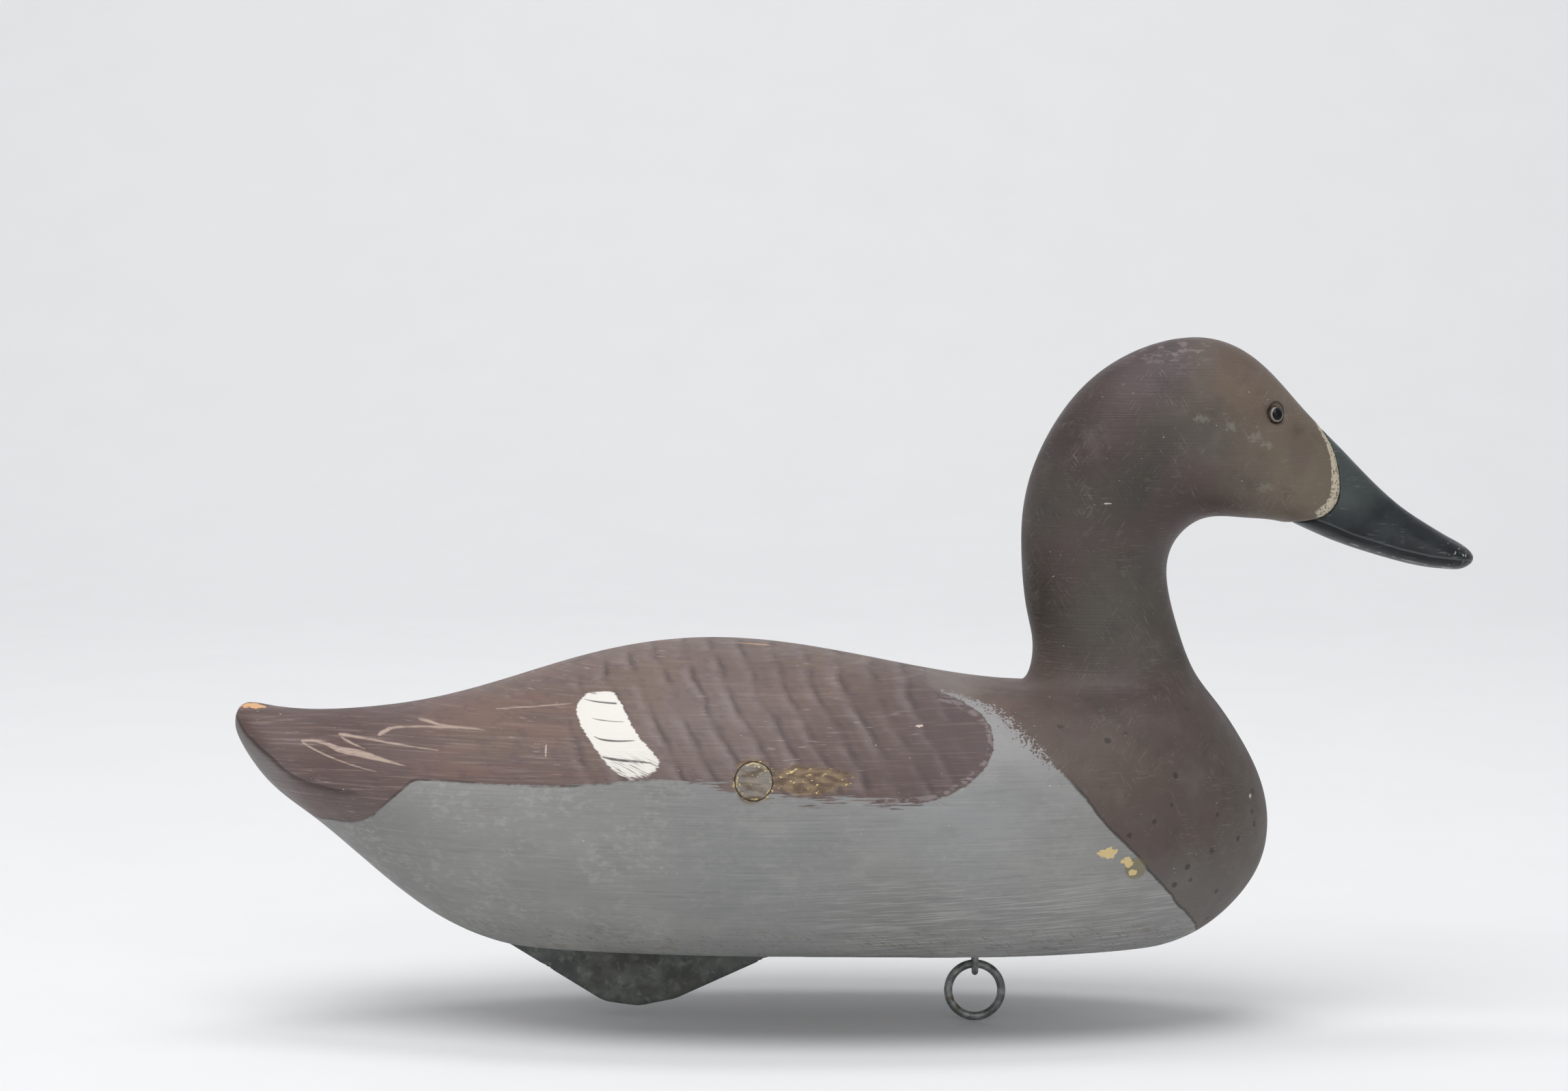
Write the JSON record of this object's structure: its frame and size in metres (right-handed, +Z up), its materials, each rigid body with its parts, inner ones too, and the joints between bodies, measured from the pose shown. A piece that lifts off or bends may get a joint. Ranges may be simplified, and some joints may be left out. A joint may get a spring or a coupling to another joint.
{
  "type": "floating duck decoy",
  "caption": "Carved wooden hen duck decoy with a painted body and head, black bill, glass eyes, cast keel and a free-hanging anchor-line ring.",
  "frame": {"origin": "centre of the hull's flat underside, on the centre plane at mid body length", "axes": "+X along the body towards the bill, +Z up, +Y to the bird's left"},
  "size_m": [0.501, 0.1696, 0.2786],
  "materials": {
    "hull_paint": "matte",
    "head_paint": "matte",
    "bill_paint": "satin",
    "knot": "matte",
    "bare_wood": "matte",
    "eye_glass": "gloss",
    "keel_lead": "matte",
    "steel_fittings": "satin"
  },
  "bodies": {
    "decoy": {"body_block": "hull_paint", "knot_plug": "knot", "neck_head": "head_paint", "neck_dowel": "bare_wood", "bill": "bill_paint", "bill_dowel": "bare_wood", "eye_left": "eye_glass", "eye_right": "eye_glass", "keel_weight": "keel_lead", "keel_screws": "steel_fittings", "line_staple": "steel_fittings"},
    "ring": {"line_ring": "steel_fittings"}
  },
  "joints": [
    {"name": "ring_swing", "type": "hinge", "parent": "decoy", "child": "ring", "pos_m": [0.0905, 0, -0.0102], "axis": [1, 0, 0], "range_deg": [-110, 110]}
  ]
}
